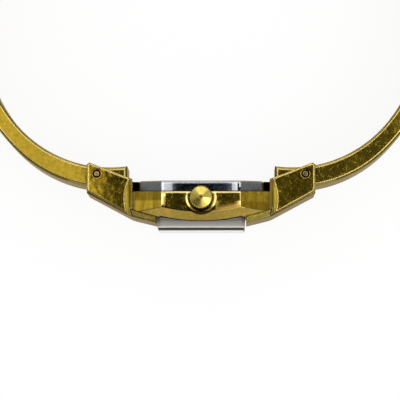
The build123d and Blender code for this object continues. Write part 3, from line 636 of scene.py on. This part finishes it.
def ground_sides(tree, clear, facing_front):
    """Covers the glass's ground sides and bevel with greys of painted shade and reflection, and leaves its
    front and rear clear.
    """
    rear_y, front_y = reversed(extent("crystal", 1))
    across = fraction(tree, split(tree, spot(tree))[1], rear_y, front_y)
    cloud = noise(tree, mapped(tree, scale=(1, 3, 1)), 700.0)
    across = total(tree, across, product(tree, math_node(tree, "SUBTRACT", cloud, 0.5), 0.06))
    inputs = (("Base Color", ramp(tree, across, ground_shade_stops)), ("Roughness", ground_rough))
    ground = node(tree, "ShaderNodeBsdfPrincipled", inputs).outputs[0]
    covered = ramp(tree, facing_front, ((0.0, 0.8), (0.3, 1.0), (0.97, 0.0)), "CONSTANT")
    return node(tree, "ShaderNodeMixShader", ((0, covered), (1, clear), (2, ground))).outputs[0]


def front_glare(tree, beneath, facing_front):
    """Paints the pale glare that glass shows at a grazing view over its front as a pale diffuse layer, with
    a painted dark band at the crown's side.
    """
    below = math_node(tree, "SUBTRACT", extent("crystal", 2)[1], split(tree, spot(tree))[2])
    glare_tone = ramp(tree, math_node(tree, "DIVIDE", below, glare_depth), glare_stops)
    painted_glare = node(tree, "ShaderNodeBsdfDiffuse", (("Color", glare_tone),)).outputs[0]
    grazing = node(tree, "ShaderNodeLayerWeight", (("Blend", 0.5),)).outputs["Facing"]
    on_front = ramp(tree, facing_front, ((0.0, 0.0), (0.97, 1.0)), "CONSTANT")
    glare = product(tree, on_front, ramp(tree, grazing, ((0.8, 0.0), (0.95, 0.85))))
    return node(tree, "ShaderNodeMixShader", ((0, glare), (1, beneath), (2, painted_glare))).outputs[0]


def glass_material(name):
    """Clear over the dial; the ground sides carry painted grey shade, the narrow bevel a painted dark line,
    and the front a painted glare.
    """
    material, tree, shader = new_material(name)
    shader.inputs["Transmission Weight"].default_value = 1.0
    shader.inputs["IOR"].default_value = glass_index
    dust = noise(tree, mapped(tree), mottle_scale, detail=4.0)
    tree.links.new(mix_colour(tree, dust, *glass_clear), shader.inputs["Base Color"])
    spread = product(tree, ramp(tree, dust, ((0.5, 0.0), (0.8, 1.0))), 0.1)
    worn = product(tree, scratches(tree, (5, 60), 1.2 * millimetre, 0.03 * millimetre, 3), 0.25)
    tree.links.new(total(tree, spread, worn, 0.02, clamp=True), shader.inputs["Roughness"])
    facing_front = math_node(tree, "ABSOLUTE", facing(tree)[1])
    sided = ground_sides(tree, shader.outputs[0], facing_front)
    glared = front_glare(tree, sided, facing_front)
    tree.links.new(glared, tree.nodes["Material Output"].inputs["Surface"])
    return material


slots = {
    "gold_case": metal(
        "polished_gold_case", gold_colour, rounding=case_rounding, softness=case_softness,
        shade_paint=painted_recess_shade, reflection_paint=painted_case_reflections, border=case_border, joined=case_joined,
    ),
    "gold_cover": metal(
        "polished_gold_cover", cover_colour, rough=0.12, wear=0.2, tone=0.05, rounding=slight,
        outline=0.2 * millimetre, reflection_paint=painted_cover_reflection,
    ),
    "gold_arm": metal(
        "polished_gold_arm", gold_colour, wear=0.7, rounding=0.3 * millimetre, shade_paint=painted_tail_shade,
    ),
    "gold_pin": metal("gold_pin", pin_colour, rough=0.12, rounding=0.15 * millimetre),
    "gold_crown": metal(
        "turned_gold_crown", crown_colour, rough=0.26, wear=0.3, rounding=0.06 * millimetre,
        outline=0.04 * millimetre, fan=painted_crown_rays,
    ),
    "gold_marker": metal("gold_marker", gold_colour),
    "gold_hand": metal("gold_hand", gold_colour),
    "polished_steel": metal(
        "polished_steel", steel_colour, wear=0.3, tone=0.04, wave=1e-6, rounding=back_rounding,
        softness=1.0, rim=white, edge_highlight=highlight_steel_colour, hollow=back_swelling, reflection_paint=painted_back_reflection,
    ),
    "gasket_rubber": dull("gasket_rubber", (0.02, 0.02, 0.02), 0.6),
    "crystal_glass": glass_material("bevelled_glass"),
    "dial_paint": dull("dial_lacquer", (0.78, 0.74, 0.62), 0.35, scale=3000.0, tone=0.04, depth=1e-6),
    "movement_brass": dull("movement_brass", brass_colour, 0.35, 1.0),
    "wheel_brass": dull("wheel_brass", brass_colour, 0.3, 1.0),
    "screw_steel": dull("screw_steel", iron_colour, 0.25, 1.0),
    "ring_plastic": dull("ring_plastic", (0.7, 0.7, 0.68), 0.5),
    "battery_steel": dull("battery_steel", (0.5, 0.5, 0.52), 0.3, 1.0),
    "board_laminate": dull("board_laminate", (0.02, 0.12, 0.05), 0.35),
    "soft_iron": dull("soft_iron", iron_colour, 0.35, 1.0),
    "copper_wire": dull("copper_wire", (0.45, 0.16, 0.05), 0.3, 1.0, scale=6000.0),
}


def dress_nodes():
    """Gives every CAD node the material of its slot."""
    for subpart in frame["record"]["subparts"]:
        for place in frame["nodes"][subpart["node"]].material_slots:
            place.material = slots[subpart["material_slot"]]


def dish_cutter():
    """A round solid with the dish's shallow bowl at its lower end, which reaches up past the case."""
    bottom = 2 * half_width - dish_depth
    top = 2 * half_width + millimetre
    inner, outer = dish_reach
    rings = []
    for i in range(dish_rings):
        share = i / dish_rings
        rise = dish_depth * (share * share * (3 - 2 * share))
        rings.append((inner + (outer - inner) * share, bottom + rise))
    rings.append((outer, bottom + 1.4 * dish_depth))
    rings.append((outer, top))
    points = [(0, 0, bottom)]
    for radius, height in rings:
        for j in range(dish_sides):
            turn = 2 * math.pi * j / dish_sides
            points.append((radius * math.cos(turn), radius * math.sin(turn), height))
    points.append((0, 0, top))
    faces = []
    for j in range(dish_sides):
        after = (j + 1) % dish_sides
        faces.append((0, 1 + after, 1 + j))
        for i in range(len(rings) - 1):
            low, high = 1 + i * dish_sides, 1 + (i + 1) * dish_sides
            faces.append((low + j, low + after, high + after, high + j))
        faces.append((high + j, high + after, len(points) - 1))
    mesh = bpy.data.meshes.new("dish_cutter")
    mesh.from_pydata(points, [], faces)
    cutter = bpy.data.objects.new("dish_cutter", mesh)
    bpy.context.scene.collection.objects.link(cutter)
    return cutter


def dished_case():
    """The case middle with the shallow round dish that the crown sits in, cut into a copy of its mesh."""
    item = frame["nodes"]["mid_case"]
    piece = bpy.data.objects.new("mid_case_dished", item.data.copy())
    piece.matrix_world = item.matrix_world
    bpy.context.scene.collection.objects.link(piece)
    cutter = dish_cutter()
    cut = piece.modifiers.new("dish", "BOOLEAN")
    cut.operation = "DIFFERENCE"
    cut.solver = "EXACT"
    cut.object = cutter
    bpy.context.view_layer.update()
    solid = piece.evaluated_get(bpy.context.evaluated_depsgraph_get())
    piece.data = bpy.data.meshes.new_from_object(solid)
    piece.modifiers.clear()
    bpy.data.objects.remove(cutter)
    lowest = 2 * half_width - 1.1 * dish_depth
    for face in piece.data.polygons:
        in_dish = math.hypot(face.center.x, face.center.y) < dish_reach[1] and face.center.z > lowest
        face.use_smooth = in_dish and 0.98 < face.normal.z < 0.99999
    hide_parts("mid_case")
    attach(piece, "case")
    for place in piece.material_slots:
        place.material = slots["gold_case"]


def floor():
    """A plain pale floor, near white to the camera, that still takes the watch's shadow."""
    mesh = bpy.data.meshes.new("floor")
    half = floor_half
    corners = [(-half, -half, 0), (half, -half, 0), (half, half, 0), (-half, half, 0)]
    mesh.from_pydata(corners, [], [(0, 1, 2, 3)])
    item = bpy.data.objects.new("floor", mesh)
    bpy.context.scene.collection.objects.link(item)
    material, tree, shader = new_material("floor_paper")
    shader.inputs["Roughness"].default_value = 0.9
    shader.inputs["Base Color"].default_value = (*floor_paper, 1)
    path = node(tree, "ShaderNodeLightPath").outputs
    seen = math_node(tree, "MAXIMUM", path["Is Camera Ray"], path["Is Transmission Ray"])
    seen = math_node(tree, "MAXIMUM", seen, path["Is Glossy Ray"])
    tint = mix_colour(tree, path["Is Glossy Ray"], white, floor_in_metal)
    glow = node(tree, "ShaderNodeEmission", (("Color", tint), ("Strength", 1.0))).outputs[0]
    inputs = ((0, product(tree, seen, floor_glow)), (1, shader.outputs[0]), (2, glow))
    mixed = node(tree, "ShaderNodeMixShader", inputs).outputs[0]
    tree.links.new(mixed, tree.nodes["Material Output"].inputs["Surface"])
    item.data.materials.append(material)
    item.location.z = cad_box[0].z


def tent_colour(tree, direction):
    """The white tent, darker towards the horizon and at a low card on the dial's side."""
    x, y, z = split(tree, direction)
    lean = math_node(tree, "DIVIDE", math_node(tree, "ARCCOSINE", z), math.pi / 2)
    sideways = ramp(tree, math_node(tree, "ABSOLUTE", x), sideways_stops)
    dialward = ramp(tree, math_node(tree, "MULTIPLY", y, -1.0, clamp=True), dialward_stops)
    tent = product(tree, sideways, dialward, ramp(tree, lean, ring_stops))
    uneven = noise(tree, direction, unevenness_scale, detail=2.0)
    tent = tinted(tree, tent, ramp(tree, uneven, ((0.3, 0.9), (0.7, 1.1))))
    card_x, card_y, soft = low_card
    card = product(tree, between(tree, x, *card_x, soft), between(tree, y, *card_y, soft))
    return mix_colour(tree, card, tent, card_colour)


def opening_over(tree, direction, tent):
    """Lays the dark opening overhead over the tent, with a darker card in it that the back mirrors."""
    x, y, z = split(tree, direction)
    up = math_node(tree, "MAXIMUM", z, 0.001)
    east = math_node(tree, "DIVIDE", x, up)
    north = math_node(tree, "DIVIDE", y, up)
    clutter = ramp(tree, noise(tree, direction, clutter_scale), ((0.35, 0.0), (0.65, 1.0)))
    inside = mix_colour(tree, clutter, *opening_colours)
    inside = tinted(tree, inside, ramp(tree, fraction(tree, east, *opening_reach), opening_stops))
    card_east, card_north, soft, level = back_card
    card = product(tree, between(tree, east, *card_east, soft), between(tree, north, *card_north, soft))
    inside = mix_colour(tree, card, inside, tinted(tree, inside, (level,) * 3))
    wide = between(tree, east, *opening_east, opening_soft)
    high = between(tree, north, *opening_north, opening_soft)
    return mix_colour(tree, product(tree, wide, high), tent, inside)


def world():
    """White to the camera and as light; mirrors and glass see a tent with a dark opening overhead."""
    studio = bpy.data.worlds.new("studio")
    bpy.context.scene.world = studio
    studio.use_nodes = True
    tree = studio.node_tree
    tree.nodes.clear()
    direction = node(tree, "ShaderNodeTexCoord").outputs["Generated"]
    room = opening_over(tree, direction, tent_colour(tree, direction))
    path = node(tree, "ShaderNodeLightPath").outputs
    mirrored = math_node(tree, "MAXIMUM", path["Is Glossy Ray"], path["Is Transmission Ray"])
    direct = less_than(tree, path["Diffuse Depth"], 0.5)
    colour = mix_colour(tree, product(tree, mirrored, direct), white, room)
    colour = mix_colour(tree, path["Is Camera Ray"], colour, white)
    background = node(tree, "ShaderNodeBackground", (("Color", colour), ("Strength", 1.0))).outputs[0]
    tree.links.new(background, node(tree, "ShaderNodeOutputWorld").inputs[0])


def soft_light():
    """One soft light above the crown side, to the right and towards the dial."""
    data = bpy.data.lights.new("crown_box", "AREA")
    data.shape = "RECTANGLE"
    data.size, data.size_y = light_size
    data.energy = light_power
    item = bpy.data.objects.new("crown_box", data)
    item.location = light_place
    item.rotation_euler = (Vector(light_target) - Vector(light_place)).to_track_quat("-Z", "Y").to_euler()
    bpy.context.scene.collection.objects.link(item)


def camera():
    data = bpy.data.cameras.new("camera")
    item = bpy.data.objects.new("camera", data)
    bpy.context.scene.collection.objects.link(item)
    forward = (camera_target - camera_place).normalized()
    right = forward.cross(Vector((0, 1, 0))).normalized()
    upward = right.cross(forward)
    turn = Matrix((right, upward, -forward)).transposed()
    item.matrix_world = Matrix.Translation(camera_place) @ turn.to_4x4()
    data.sensor_width = sensor
    data.lens = sensor / 2 * (camera_target - camera_place).length / half_view
    data.clip_start, data.clip_end = camera_clip
    bpy.context.scene.camera = item


dress_nodes()
dished_case()
floor()
world()
soft_light()
camera()

scene = bpy.context.scene
scene.view_settings.view_transform = "Standard"
